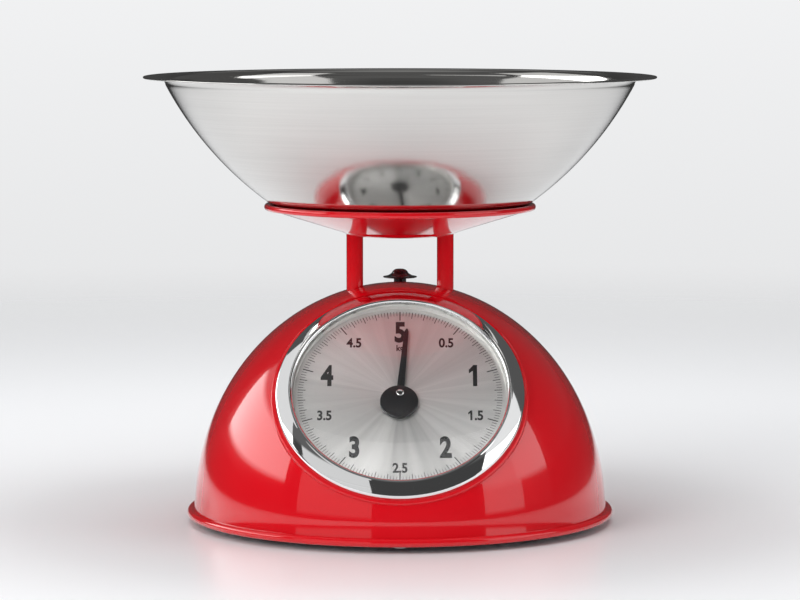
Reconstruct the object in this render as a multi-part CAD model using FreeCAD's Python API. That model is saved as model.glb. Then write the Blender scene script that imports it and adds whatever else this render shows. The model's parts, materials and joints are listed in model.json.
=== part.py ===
import FreeCAD, Part
import math
import os

# Mechanical kitchen scale with a lift-off bowl, 5 kg on one turn of the pointer.
# Millimetres, +Z up, the dial faces -Y. The origin is on the table, below the middle of the bowl.

# ---------------------------------------------------------------- driving dimensions

BOWL_RIM_R = 122.5
BOWL_TOP_Z = 214.0
BOWL_SHEET = 0.8
BOWL_FLOOR_R = 51.3
BOWL_FLOOR_DEPTH = 64.5
BOWL_HEEL_R = 18.0

DISH_RIM_R = 65.0
DISH_RIM_Z = 151.6
DISH_ROLL_R = 1.5
DISH_FLOOR_Z = 137.8
DISH_SHEET = 1.0
DISH_PAN_R = 16.0
DISH_CONE_R = 28.5
DISH_CONE_Z = 143.15
DISH_EDGE_R = 62.2
DISH_EDGE_Z = 151.3

POST_X = 21.7
POST_R = 4.0
POST_FOOT_Z = 76.0
POST_TOP_Z = 141.0
POST_SCREW_R = 1.6

DOME_R = 99.0
DOME_HEIGHT = 110.0
DOME_Z = 5.0
DOME_SHEET = 1.0
ROLL_R = 2.0
ROLL_CENTRE_R = 100.6

DIAL_TILT = 41.5
DIAL_Y = -56.7
DIAL_Z = 65.5
COLLAR_R = 60.0
COLLAR_HOLE_R = 51.5
SEAT_W = 3.2
SHEET_W = 1.0
BEZEL_R = 58.0
BEZEL_INNER_R = 50.0
BEZEL_STUD_R = 1.0
BEZEL_STUD_RADIUS = 56.2
GLASS_R = 54.0
GLASS_W = 5.6
GLASS_THICK = 1.8
DIAL_FACE_R = 51.2
DIAL_FACE_THICK = 0.6
BACKPLATE_SHEET = 1.0
STUD_HOLE_R = 1.2

TRAVEL = 12.0
NEEDLE_LENGTH = 37.0
NEEDLE_LEAN = 5.0
DISC_R = 8.9
DISC_OFFSET = 4.7
SHAFT_R = 1.0
RUNNING_GAP = 0.05

PINION_TEETH = 10
PINION_W = (-12.0, -8.0)
RACK_W = (-11.8, -8.2)
RACK_FAR_X = 7.2
RACK_TOP = 19.5
BRIDGE_W = (-16.2, -15.0)
BRIDGE_SCREW_X = 19.5
BRIDGE_SCREW_R = 1.2
BUSH_R = 2.4

BASE_R = 97.6
BASE_Z = 3.0
BASE_SHEET = 1.2
FOOT_R = 8.0
FOOT_PLACE = 58.0
LUG_RADIUS = 91.0
LUG_TOP_Z = 14.0
BASE_SCREW_R = 1.7
FRAME_SCREW_R = 1.6

PIN_R = 2.0
FRAME_PIN_Y = 34.0
CARRIAGE_PIN_Y = -20.0
LEVER_PIN_Z = {"upper": 62.0, "lower": 24.0}
LEVER_HALF_HEIGHT = 5.0
LEVER_SIDE_X = (27.5, 29.0)
CARRIAGE_HALF_X = 26.0
CARRIAGE_FRONT_Y = -26.0
MECHANISM_SHEET = 1.5

SPRING_X = 14.0
SPRING_Y = 25.0
SPRING_R = 5.1
SPRING_WIRE = 1.2
HANGER_Z = 84.0
KNOB_Y = 25.0
KNOB_R = 8.25
KNOB_TOP_Z = 119.4
KNOB_UNDER_Z = 115.2
KNOB_STEM_R = 3.0
ZERO_SCREW_R = 2.0

RACK_PIN_Y = -55.0
RACK_PIN_Z = 39.0
RACK_PIN_R = 1.5
ARM_SCREW_X = (12.5, 17.5)
ARM_SCREW_R = 1.5
ARM_X = (8.0, 9.5)

# ---------------------------------------------------------------- worked-out values

BASE_TOP = BASE_Z + BASE_SHEET
TILT = math.radians(DIAL_TILT)
PINION_R = TRAVEL / math.cos(TILT) / (2 * math.pi)
TOOTH_PITCH = 2 * math.pi * PINION_R / PINION_TEETH
LEVER_LENGTH = FRAME_PIN_Y - CARRIAGE_PIN_Y
LEVER_REST = math.degrees(math.atan(TRAVEL / 2 / LEVER_LENGTH))
SEAT_UNDER = SEAT_W - SHEET_W
BACKPLATE_UNDER = SEAT_UNDER - BACKPLATE_SHEET
RACK_X = (PINION_R + 0.65, RACK_FAR_X)

X_AXIS = FreeCAD.Vector(1, 0, 0)
Z_AXIS = FreeCAD.Vector(0, 0, 1)
ORIGIN = FreeCAD.Vector(0, 0, 0)


# ---------------------------------------------------------------- shape helpers

def block(x, y, z):
    """A box from three (low, high) pairs."""
    corner = FreeCAD.Vector(x[0], y[0], z[0])
    return Part.makeBox(x[1] - x[0], y[1] - y[0], z[1] - z[0], corner)


def rod(radius, z, x=0.0, y=0.0):
    """An upright cylinder between two heights."""
    return Part.makeCylinder(radius, z[1] - z[0], FreeCAD.Vector(x, y, z[0]))


def cross_rod(radius, x, y, z):
    """A cylinder along X."""
    return Part.makeCylinder(radius, x[1] - x[0], FreeCAD.Vector(x[0], y, z), X_AXIS)


def depth_rod(radius, x, y, z):
    """A cylinder along Y."""
    return Part.makeCylinder(radius, y[1] - y[0], FreeCAD.Vector(x, y[0], z), FreeCAD.Vector(0, 1, 0))


def ring(inner, outer, z, x=0.0, y=0.0):
    return rod(outer, z, x, y).cut(rod(inner, (z[0] - 1, z[1] + 1), x, y))


def join(first, *others):
    """One clean solid from pieces that touch or overlap."""
    shape = first
    for other in others:
        shape = shape.fuse(other)
    return shape.removeSplitter()


def carve(shape, *tools):
    for tool in tools:
        shape = shape.cut(tool)
    return shape


def group(pieces):
    """Separate solids of identical fasteners, kept in one node."""
    return Part.makeCompound(pieces)


def point(r, z):
    return FreeCAD.Vector(r, 0, z)


def outline(start, *steps):
    """A closed wire in the XZ plane: a step is (r, z) for a line, or two points for an arc."""
    edges = []
    here = point(*start)
    for step in steps:
        if isinstance(step, Part.Edge):
            edges.append(step)
            here = step.lastVertex(True).Point
            continue
        if isinstance(step[0], tuple):
            there = point(*step[1])
            edges.append(Part.Arc(here, point(*step[0]), there).toShape())
        else:
            there = point(*step)
            edges.append(Part.makeLine(here, there))
        here = there
    if here.distanceToPoint(point(*start)) > 1e-6:
        edges.append(Part.makeLine(here, point(*start)))
    return Part.Wire(edges)


def turned(wire):
    """A full turn of a closed outline about the upright axis."""
    return Part.Face(wire).revolve(ORIGIN, Z_AXIS, 360)


def plate_yz(points, x):
    """A flat plate of constant thickness along X, from (y, z) corners."""
    corners = [FreeCAD.Vector(x[0], y, z) for y, z in points]
    face = Part.Face(Part.makePolygon(corners + corners[:1]))
    return face.extrude(FreeCAD.Vector(x[1] - x[0], 0, 0))


def on_dial(shape):
    """Move a shape drawn with Z along the dial's normal onto the tilted dial."""
    placed = shape.copy()
    turn = FreeCAD.Rotation(X_AXIS, 90 - DIAL_TILT)
    placed.Placement = FreeCAD.Placement(FreeCAD.Vector(0, DIAL_Y, DIAL_Z), turn).multiply(placed.Placement)
    return placed


def around_dial(make, radius, count, first=45.0):
    """Copies of one piece spread evenly on a circle of the dial, drawn upright."""
    pieces = []
    for index in range(count):
        angle = math.radians(first + 360.0 / count * index)
        pieces.append(make(radius * math.cos(angle), radius * math.sin(angle)))
    return pieces


def dome_solid(grow):
    """The filled dome, with its surface grown outwards or shrunk inwards."""
    top = point(0, DOME_Z + DOME_HEIGHT + grow)
    side = point(DOME_R + grow, DOME_Z)
    middle = point(0, DOME_Z)
    curve = Part.Ellipse(top, side, middle).toShape(0, math.pi / 2)
    return turned(Part.Wire([curve, Part.makeLine(side, middle), Part.makeLine(middle, top)]))


# ---------------------------------------------------------------- casing

def dome_shell():
    """Pressed steel dome with a rolled foot and a flat, collared seat for the dial."""
    flare_z = 14.0
    angle = math.acos((flare_z - DOME_Z) / DOME_HEIGHT)
    crown = point(0, DOME_Z + DOME_HEIGHT)
    outer = Part.Ellipse(crown, point(DOME_R, DOME_Z), point(0, DOME_Z)).toShape(0, angle)
    inside_r = DOME_R - DOME_SHEET
    inside_top = point(0, DOME_Z + DOME_HEIGHT - DOME_SHEET)
    inner = Part.Ellipse(inside_top, point(inside_r, DOME_Z), point(0, DOME_Z)).toShape(0, math.pi / 2)
    wall = outer.lastVertex(True).Point
    roll_top = (ROLL_CENTRE_R - 0.6 * ROLL_R, DOME_Z + 0.8 * ROLL_R)
    roll = Part.Arc(point(*roll_top), point(ROLL_CENTRE_R + ROLL_R, DOME_Z),
                    point(ROLL_CENTRE_R - ROLL_R, DOME_Z)).toShape()
    flare = Part.Arc(wall, point(DOME_R + 0.02, 9.6), point(*roll_top)).toShape()
    ledge = Part.makeLine(point(ROLL_CENTRE_R - ROLL_R, DOME_Z), point(inside_r, DOME_Z))
    shell = turned(Part.Wire([outer, flare, roll, ledge, inner, Part.makeLine(inside_top, crown)]))

    collar_foot = -3.5
    mouth = on_dial(rod(COLLAR_R - 0.5, (collar_foot, 60.0)))
    edge = 0.8
    bend = edge * (1 - math.sqrt(0.5))
    collar = on_dial(turned(outline(
        (COLLAR_HOLE_R, SEAT_UNDER), (COLLAR_HOLE_R, SEAT_W), (COLLAR_R - edge, SEAT_W),
        ((COLLAR_R - bend, SEAT_W - bend), (COLLAR_R, SEAT_W - edge)),
        (COLLAR_R, collar_foot), (COLLAR_R - SHEET_W, collar_foot), (COLLAR_R - SHEET_W, SEAT_UNDER))))
    shell = join(shell.cut(mouth), collar)

    holes = [rod(POST_R + 0.6, (90, 130), side * POST_X) for side in (-1, 1)]
    holes.append(rod(4.0, (90, 130), 0, KNOB_Y))
    holes += [on_dial(hole) for hole in around_dial(stud_hole, BEZEL_STUD_RADIUS, 4)]
    return carve(shell, *holes)


def stud_hole(x, v):
    """Clearance hole for one of the bezel's studs, drawn upright."""
    return rod(STUD_HOLE_R, (0, 6), x, v)


def lug_place(index):
    angle = math.radians(90.0 * index)
    return LUG_RADIUS * math.cos(angle), LUG_RADIUS * math.sin(angle)


def dome_lugs():
    """Four blocks welded inside the foot of the dome, which take the base screws."""
    inside = dome_solid(-DOME_SHEET)
    lugs = []
    for index in range(4):
        x, y = lug_place(index)
        body = block((LUG_RADIUS - 5, DOME_R + 1), (-7, 7), (DOME_Z, LUG_TOP_Z))
        body.rotate(ORIGIN, Z_AXIS, 90.0 * index)
        lugs.append(body.common(inside).cut(rod(BASE_SCREW_R, (0, 12), x, y)))
    return group(lugs)


def base_plate():
    plate = rod(BASE_R, (BASE_Z, BASE_TOP))
    holes = [rod(BASE_SCREW_R + 0.2, (0, 10), *lug_place(index)) for index in range(4)]
    holes += [rod(FRAME_SCREW_R, (0, 10), x, y) for x, y in frame_screw_places()]
    return carve(plate, *holes)


def base_screws():
    screws = []
    for index in range(4):
        x, y = lug_place(index)
        head = rod(3.4, (BASE_Z - 1.6, BASE_Z), x, y)
        slot = block((x - 4, x + 4), (y - 0.5, y + 0.5), (BASE_Z - 2, BASE_Z - 0.9))
        screws.append(join(head, rod(BASE_SCREW_R, (BASE_Z, 11.5), x, y)).cut(slot))
    return group(screws)


def rubber_foot(side_x, side_y):
    """A round pad with a chamfered lower edge, glued under the base plate."""
    pad = turned(outline((0, 0), (FOOT_R - 0.8, 0), (FOOT_R, 0.8), (FOOT_R, BASE_Z), (0, BASE_Z)))
    pad.translate(FreeCAD.Vector(side_x * FOOT_PLACE, side_y * FOOT_PLACE, 0))
    return pad


def post_guide(side):
    """Nylon ring under the dome's skin that steadies one post."""
    skin = dome_solid(-DOME_SHEET).cut(dome_solid(-DOME_SHEET - 1.4))
    disc = skin.common(rod(8.5, (95, 125), side * POST_X))
    return disc.cut(rod(POST_R + 0.3, (90, 130), side * POST_X))


def knob_bush():
    """Flanged sleeve in the dome that the zero knob's stem turns in."""
    skirt = dome_solid(0.5).cut(dome_solid(0)).common(rod(5.0, (100, 125), 0, KNOB_Y))
    sleeve = rod(4.0, (106, 125), 0, KNOB_Y).common(dome_solid(0.2))
    return join(skirt, sleeve).cut(rod(KNOB_STEM_R + 0.1, (90, 130), 0, KNOB_Y))


def overload_buffer():
    return turned(outline((0, BASE_TOP), (6.5, BASE_TOP), (6.0, 9.7), (0, 9.7)))


# ---------------------------------------------------------------- mechanism frame and levers

def frame_screw_places():
    return [(side * 38.0, y) for side in (-1, 1) for y in (31.5, 38.0)]


def mechanism_frame():
    """Bent steel bracket: two cheeks, a back web and a shelf that carries the zero screw."""
    sheet = MECHANISM_SHEET
    cheek_x = 31.0
    back_y = 40.0
    front_y = 28.0
    cheek_top = 74.0
    shelf_z = 96.0
    neck = 16.0
    pieces = [block((-cheek_x - sheet, cheek_x + sheet), (back_y, back_y + sheet), (BASE_TOP, cheek_top))]
    for side in (-1, 1):
        near, far = sorted((side * cheek_x, side * (cheek_x + sheet)))
        pieces.append(block((near, far), (front_y, back_y + sheet), (BASE_TOP, cheek_top)))
        near, far = sorted((side * cheek_x, side * 43.0))
        pieces.append(block((near, far), (front_y, back_y + sheet), (BASE_TOP, BASE_TOP + sheet)))
    pieces.append(block((-neck, neck), (back_y, back_y + sheet), (cheek_top - 1, shelf_z + 2)))
    pieces.append(block((-neck, neck), (16.0, back_y + sheet), (shelf_z, shelf_z + 2)))
    holes = [cross_rod(PIN_R, (-40, 40), FRAME_PIN_Y, z) for z in LEVER_PIN_Z.values()]
    holes += [rod(FRAME_SCREW_R, (0, 10), x, y) for x, y in frame_screw_places()]
    holes.append(rod(ZERO_SCREW_R + 0.3, (90, 100), 0, KNOB_Y))
    holes.append(block((-18, 18), (back_y - 1, back_y + 3), (34.0, 54.0)))
    return carve(join(*pieces), *holes)


def frame_screws():
    screws = []
    for x, y in frame_screw_places():
        head = rod(3.0, (BASE_TOP + 1.5, BASE_TOP + 3.5), x, y)
        slot = block((x - 4, x + 4), (y - 0.4, y + 0.4), (BASE_TOP + 2.7, BASE_TOP + 4))
        screws.append(join(head, rod(FRAME_SCREW_R, (BASE_Z - 0.6, BASE_TOP + 1.5), x, y)).cut(slot))
    return group(screws)


def grooved_pin(half, groove, y, z):
    """A round pin across the mechanism with a clip groove near each end."""
    pin = cross_rod(PIN_R, (-half, half), y, z)
    cuts = []
    for side in (-1, 1):
        low, high = sorted((side * groove, side * (groove + 0.8)))
        cuts.append(cross_rod(PIN_R + 1, (low, high), y, z).cut(cross_rod(PIN_R - 0.4, (low, high), y, z)))
    return carve(pin, *cuts)


def pin_clips(groove, y, heights):
    """Open spring clips that sit in the pins' grooves."""
    clips = []
    for z in heights:
        for side in (-1, 1):
            low, high = sorted((side * groove, side * (groove + 0.8)))
            disc = cross_rod(3.8, (low, high), y, z).cut(cross_rod(PIN_R - 0.4, (low, high), y, z))
            clips.append(disc.cut(block((low - 1, high + 1), (y - 5, y), (z - 1.2, z + 1.2))))
    return group(clips)


def carriage_pin_heights():
    return [z + TRAVEL / 2 for z in LEVER_PIN_Z.values()]


def guide_lever(which):
    """Two side arms joined by a tie, pivoted on the frame and slotted over the carriage pin."""
    z = LEVER_PIN_Z[which]
    half = LEVER_HALF_HEIGHT
    slot_near = LEVER_LENGTH - 0.1
    slot_far = LEVER_LENGTH + 0.45
    pieces = []
    for side in (-1, 1):
        low, high = sorted(side * x for x in LEVER_SIDE_X)
        pieces.append(block((low, high), (CARRIAGE_PIN_Y, FRAME_PIN_Y), (z - half, z + half)))
        pieces.append(cross_rod(half, (low, high), FRAME_PIN_Y, z))
        pieces.append(cross_rod(half, (low, high), CARRIAGE_PIN_Y, z))
    pieces.append(block((-28.0, 28.0), (31.8, 37.2), (z + 3.4, z + 4.6)))
    clear = PIN_R + RUNNING_GAP
    holes = [cross_rod(clear, (-30, 30), FRAME_PIN_Y, z)]
    holes += [cross_rod(clear, (-30, 30), FRAME_PIN_Y - reach, z) for reach in (slot_near, slot_far)]
    holes.append(block((-30, 30), (FRAME_PIN_Y - slot_far, FRAME_PIN_Y - slot_near), (z - clear, z + clear)))
    for y in (-4.0, 16.0):
        holes.append(cross_rod(2.4, (-30, 30), y, z))
    lever = carve(join(*pieces), *holes)
    lever.rotate(FreeCAD.Vector(0, FRAME_PIN_Y, z), X_AXIS, -LEVER_REST)
    return lever


# ---------------------------------------------------------------- weighing platform

def load_carriage():
    """U-shaped carrier between the levers, with a tongue for the springs."""
    sheet = MECHANISM_SHEET
    half = CARRIAGE_HALF_X
    front = CARRIAGE_FRONT_Y
    floor_z = 22.0
    pieces = [block((-half, half), (-8, 8), (POST_FOOT_Z - sheet, POST_FOOT_Z))]
    for side in (-1, 1):
        near, far = sorted((side * (half - sheet), side * half))
        pieces.append(plate_yz([(front, floor_z), (8, floor_z), (8, POST_FOOT_Z), (-10, POST_FOOT_Z),
                                (front, 72.0)], (near, far)))
    pieces.append(block((-half, half), (front, front + sheet), (30.0, 50.0)))
    pieces.append(block((-half, half), (front, 8), (floor_z, floor_z + sheet)))
    pieces.append(block((-20, 20), (7, 30.5), (floor_z, floor_z + sheet)))
    holes = [cross_rod(PIN_R, (-30, 30), CARRIAGE_PIN_Y, z) for z in carriage_pin_heights()]
    holes += [rod(1.8, (70, 80), side * POST_X) for side in (-1, 1)]
    holes += [rod(1.0, (20, 26), side * SPRING_X, SPRING_Y) for side in (-1, 1)]
    holes += [depth_rod(ARM_SCREW_R, x, (front - 2, front + 4), RACK_PIN_Z) for x in ARM_SCREW_X]
    return carve(join(*pieces), *holes)


def post(side):
    """Round red post, trimmed to the underside of the dish."""
    stem = rod(POST_R, (POST_FOOT_Z, POST_TOP_Z), side * POST_X)
    top = [edge for edge in stem.Edges if abs(edge.BoundBox.ZMin - POST_TOP_Z) < 1e-6]
    stem = stem.makeFillet(1.2, top)
    stem = stem.cut(dish_room())
    return stem.cut(rod(POST_SCREW_R, (POST_FOOT_Z - 1, POST_FOOT_Z + 12), side * POST_X))


def post_screws():
    screws = []
    for side in (-1, 1):
        x = side * POST_X
        head = rod(2.7, (POST_FOOT_Z - 4.0, POST_FOOT_Z - 1.5), x)
        screws.append(join(head, rod(POST_SCREW_R, (POST_FOOT_Z - 1.5, POST_FOOT_Z + 11), x)))
    return group(screws)


def dish_underside():
    """Points and arcs of the dish's lower surface from the axis to the cone's edge."""
    drop = DISH_SHEET * 1.03
    return [(DISH_PAN_R, DISH_FLOOR_Z),
            ((24.3, 139.4), (DISH_CONE_R, DISH_CONE_Z - drop)),
            (DISH_EDGE_R, DISH_EDGE_Z - drop)]


def dish_room():
    """Everything above the dish's lower surface, used to trim the posts."""
    return turned(outline((0, DISH_FLOOR_Z), *dish_underside(), (DISH_EDGE_R, 160), (0, 160)))


def load_dish():
    """Shallow red dish with a deeper middle, a conical flange and a rolled rim."""
    floor_top = DISH_FLOOR_Z + DISH_SHEET
    sheet = turned(outline(
        (0, DISH_FLOOR_Z), *dish_underside(), (DISH_EDGE_R, DISH_EDGE_Z),
        (DISH_CONE_R - 0.4, DISH_CONE_Z - 0.1), ((23.7, 140.3), (DISH_PAN_R - 0.3, floor_top)),
        (0, floor_top)))
    roll = Part.makeTorus(DISH_RIM_R - DISH_ROLL_R, DISH_ROLL_R, FreeCAD.Vector(0, 0, DISH_RIM_Z))
    return join(sheet, roll)


def bowl_outline():
    """Section of the bowl: flat rim, long flank, rounded heel and flat floor."""
    top = BOWL_TOP_Z
    t = BOWL_SHEET
    heel_z = top - BOWL_FLOOR_DEPTH + BOWL_HEEL_R
    heel_end = math.radians(39.0)

    def heel(radius, angle):
        return BOWL_FLOOR_R + radius * math.sin(angle), heel_z - radius * math.cos(angle)

    inner_heel_r = BOWL_HEEL_R - t
    return outline(
        (0, top - BOWL_FLOOR_DEPTH), (BOWL_FLOOR_R, top - BOWL_FLOOR_DEPTH),
        (heel(BOWL_HEEL_R, heel_end / 2), heel(BOWL_HEEL_R, heel_end)),
        ((91.0, top - 34.5), (111.8, top - 4.0)),
        ((112.9, top - 1.75), (115.4, top - t)),
        (BOWL_RIM_R - 0.4, top - t),
        ((BOWL_RIM_R, top - t / 2), (BOWL_RIM_R - 0.4, top)),
        (115.2, top),
        ((112.3, top - 1.2), (111.09, top - 3.62)),
        ((90.41, top - 33.96), heel(inner_heel_r, heel_end)),
        (heel(inner_heel_r, heel_end / 2), (BOWL_FLOOR_R, top - BOWL_FLOOR_DEPTH + t)),
        (0, top - BOWL_FLOOR_DEPTH + t))


def drive_arm():
    """Angle bracket on the carriage's front web that reaches forward to the rack."""
    root = CARRIAGE_FRONT_Y
    tip = RACK_PIN_Y - 3.5
    arm = plate_yz([(tip, 36.0), (root, 33.0), (root, 45.0), (tip, 42.0)], ARM_X)
    flange = block((ARM_X[0], 21.0), (root - MECHANISM_SHEET, root), (33.0, 45.0))
    holes = [depth_rod(ARM_SCREW_R, x, (root - 4, root + 4), RACK_PIN_Z) for x in ARM_SCREW_X]
    holes.append(cross_rod(RACK_PIN_R, (7, 11), RACK_PIN_Y, RACK_PIN_Z))
    return carve(join(arm, flange), *holes)


def arm_screws():
    face = CARRIAGE_FRONT_Y - MECHANISM_SHEET
    screws = []
    for x in ARM_SCREW_X:
        head = depth_rod(2.4, x, (face - 1.8, face), RACK_PIN_Z)
        screws.append(join(head, depth_rod(ARM_SCREW_R, x, (face, face + 5.0), RACK_PIN_Z)))
    return group(screws)


def drive_pin():
    return cross_rod(RACK_PIN_R, (4.4, ARM_X[1]), RACK_PIN_Y, RACK_PIN_Z)


def spring(side):
    """Plain stand-in for one extension spring: its coil's tube and the two straight ends."""
    x = side * SPRING_X
    low = 24.0
    high = HANGER_Z - 0.4
    coil = ring(SPRING_R - SPRING_WIRE, SPRING_R, (32.0, 76.0), x, SPRING_Y)
    ends = [rod(0.6, (low, 33.5), x, SPRING_Y), rod(0.6, (74.5, high), x, SPRING_Y)]
    caps = [rod(SPRING_R, z, x, SPRING_Y) for z in ((32.0, 33.5), (74.5, 76.0))]
    return join(coil, *ends, *caps)


# ---------------------------------------------------------------- zero adjuster

def zero_knob():
    """Thin conical thumbwheel with a domed boss and a stem through the dome."""
    under = KNOB_UNDER_Z
    stem_z = 107.0
    wheel = turned(outline(
        (0, stem_z), (KNOB_STEM_R, stem_z), (KNOB_STEM_R, under), (KNOB_R - 0.3, under),
        ((KNOB_R, under + 0.3), (KNOB_R - 0.3, under + 0.6)),
        ((5.6, under + 1.2), (4.1, under + 2.2)),
        ((3.0, KNOB_TOP_Z - 0.6), (0.8, KNOB_TOP_Z)), (0, KNOB_TOP_Z)))
    wheel.translate(FreeCAD.Vector(0, KNOB_Y, 0))
    return wheel.cut(rod(ZERO_SCREW_R, (100, 116.5), 0, KNOB_Y))


def zero_screw():
    return rod(ZERO_SCREW_R, (74.0, 116.5), 0, KNOB_Y)


def screw_collar():
    return ring(ZERO_SCREW_R, 5.0, (98.2, 101.0), 0, KNOB_Y)


def spring_hanger():
    """Cross bar on the zero screw, with an eye for each spring."""
    bar = block((-19, 19), (21, 29), (HANGER_Z, HANGER_Z + 2.5))
    boss = rod(4.0, (HANGER_Z, HANGER_Z + 6.0), 0, KNOB_Y)
    holes = [rod(ZERO_SCREW_R + RUNNING_GAP, (80, 95), 0, KNOB_Y)]
    holes += [rod(1.0, (80, 90), side * SPRING_X, SPRING_Y) for side in (-1, 1)]
    return carve(join(bar, boss), *holes)


# ---------------------------------------------------------------- dial

def dial_backplate():
    back = rod(COLLAR_R - 2.5, (BACKPLATE_UNDER, SEAT_UNDER))
    holes = [rod(BUSH_R, (0, 3))]
    holes += around_dial(stud_hole, BEZEL_STUD_RADIUS, 4)
    holes += [rod(BRIDGE_SCREW_R, (0, 3), side * BRIDGE_SCREW_X, 0) for side in (-1, 1)]
    return on_dial(carve(back, *holes))


def dial_face():
    return on_dial(ring(2.6, DIAL_FACE_R, (SEAT_UNDER, SEAT_UNDER + DIAL_FACE_THICK)))


def dial_spacer():
    return on_dial(ring(49.4, DIAL_FACE_R, (SEAT_UNDER + DIAL_FACE_THICK, GLASS_W)))


def glass_gasket():
    return on_dial(ring(COLLAR_HOLE_R + 0.1, GLASS_R, (SEAT_W, GLASS_W)))


def dial_glass():
    return on_dial(rod(GLASS_R, (GLASS_W, GLASS_W + GLASS_THICK)))


def bezel():
    """Chrome ring with a nearly conical flank, whose lip holds the glass, and four threaded studs behind."""
    lip = GLASS_W + GLASS_THICK + 0.05
    rim = turned(outline(
        (GLASS_R + 0.2, SEAT_W), (BEZEL_R - 0.4, SEAT_W),
        ((BEZEL_R - 0.05, SEAT_W + 0.35), (BEZEL_R, SEAT_W + 0.9)),
        ((BEZEL_R - 0.25, 5.0), (BEZEL_R - 1.0, 5.75)),
        ((54.66, 7.28), (52.2, 8.6)),
        ((51.1, 8.93), (BEZEL_INNER_R + 0.3, 8.55)),
        (BEZEL_INNER_R, 8.1), (BEZEL_INNER_R, lip), (GLASS_R + 0.2, lip)))
    studs = around_dial(lambda x, v: rod(BEZEL_STUD_R, (-2.4, SEAT_W + 1), x, v), BEZEL_STUD_RADIUS, 4)
    return on_dial(join(rim, *studs))


def hex_prism(width, z, x, y):
    """A hexagon nut blank across the flats."""
    corner = width / math.sqrt(3)
    points = []
    for index in range(7):
        angle = math.radians(60 * index)
        points.append(FreeCAD.Vector(x + corner * math.cos(angle), y + corner * math.sin(angle), z[0]))
    return Part.Face(Part.makePolygon(points)).extrude(FreeCAD.Vector(0, 0, z[1] - z[0]))


def bezel_nuts():
    top = BACKPLATE_UNDER

    def nut(x, v):
        return hex_prism(4.0, (top - 1.6, top), x, v).cut(rod(BEZEL_STUD_R, (-5, 5), x, v))

    return group([on_dial(piece) for piece in around_dial(nut, BEZEL_STUD_RADIUS, 4)])


# ---------------------------------------------------------------- pointer movement

def movement_bridge():
    """U-shaped bridge behind the dial that holds the rear bush and the rack guides."""
    half_v = 14.0
    pieces = [block((-17, 17), (-half_v, half_v), BRIDGE_W)]
    for side in (-1, 1):
        near, far = sorted((side * 15.8, side * 17.0))
        pieces.append(block((near, far), (-5, 5), (BRIDGE_W[0], BACKPLATE_UNDER)))
        near, far = sorted((side * 15.8, side * 22.5))
        pieces.append(block((near, far), (-5, 5), (BACKPLATE_UNDER - 1.2, BACKPLATE_UNDER)))
    holes = [rod(BUSH_R, (-20, -10))]
    holes += [rod(BRIDGE_SCREW_R, (-4, 4), side * BRIDGE_SCREW_X, 0) for side in (-1, 1)]
    return on_dial(carve(join(*pieces), *holes))


def bridge_screws():
    low = BACKPLATE_UNDER - 1.2
    screws = []
    for side in (-1, 1):
        x = side * BRIDGE_SCREW_X
        shank = rod(BRIDGE_SCREW_R, (low, BACKPLATE_UNDER + 0.9), x)
        screws.append(on_dial(join(rod(2.1, (low - 1.5, low), x), shank)))
    return group(screws)


def rack_guide(side):
    """Block on the bridge with a slideway for the rack, above or below the pinion."""
    low, high = sorted((side * 6.0, side * 13.0))
    body = block((0.6, 9.4), (low, high), (BRIDGE_W[1], RACK_W[1] + 1.2))
    way = block((PINION_R - 0.7, RACK_X[1] + 0.1), (low - 1, high + 1), (RACK_W[0] - 0.1, RACK_W[1] + 0.1))
    return on_dial(body.cut(way))


def shaft_bush(low, high, flange_low, flange_high):
    body = join(rod(BUSH_R, (low, high)), rod(3.6, (flange_low, flange_high)))
    return on_dial(body.cut(rod(SHAFT_R + RUNNING_GAP, (-30, 30))))


def drive_rack():
    """Toothed bar along the dial's slope, with a foot slotted level for the drive pin."""
    bar = block(RACK_X, (-27.0, RACK_TOP), RACK_W)
    depth = 0.60
    tip = 0.45
    half = TOOTH_PITCH / 2 * 0.44
    slope = math.tan(math.radians(20))
    teeth = []
    for index in range(-1, PINION_TEETH + 2):
        v = index * TOOTH_PITCH
        root = half + depth * slope
        crest = half - tip * slope
        back, base, crown = PINION_R + depth + 0.1, PINION_R + depth, PINION_R - tip
        corners = [(back, v - root), (base, v - root), (crown, v - crest),
                   (crown, v + crest), (base, v + root), (back, v + root)]
        points = [FreeCAD.Vector(x, y, RACK_W[0]) for x, y in corners]
        face = Part.Face(Part.makePolygon(points + points[:1]))
        teeth.append(face.extrude(FreeCAD.Vector(0, 0, RACK_W[1] - RACK_W[0])))
    toothed = on_dial(join(bar, *teeth))
    slide = TRAVEL * math.tan(TILT)
    foot_x = (5.2, RACK_X[1])
    foot = block(foot_x, (-68.5, RACK_PIN_Y + slide + 3.6), (RACK_PIN_Z - 3.5, RACK_PIN_Z + 3.5))
    clear = RACK_PIN_R + RUNNING_GAP
    ends = (RACK_PIN_Y - 0.3, RACK_PIN_Y + slide + 0.3)
    slot = block((4, 9), ends, (RACK_PIN_Z - clear, RACK_PIN_Z + clear))
    slot_ends = [cross_rod(clear, (4, 9), y, RACK_PIN_Z) for y in ends]
    return carve(join(toothed, foot), slot, *slot_ends)


def pinion():
    """Ten slim teeth on the pointer shaft, with a gap facing the rack at rest."""
    tip_r = PINION_R + 0.42
    root_r = PINION_R - 0.62
    points = []
    step = 360.0 / PINION_TEETH
    for index in range(PINION_TEETH):
        middle = step * (index + 0.5)
        for radius, offset in ((root_r, -12.0), (PINION_R, -7.2), (tip_r, -3.0),
                               (tip_r, 3.0), (PINION_R, 7.2), (root_r, 12.0)):
            angle = math.radians(middle + offset)
            points.append(FreeCAD.Vector(radius * math.cos(angle), radius * math.sin(angle), PINION_W[0]))
    face = Part.Face(Part.makePolygon(points + points[:1]))
    wheel = face.extrude(FreeCAD.Vector(0, 0, PINION_W[1] - PINION_W[0]))
    return on_dial(wheel.cut(rod(SHAFT_R, (-20, 0))))


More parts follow.
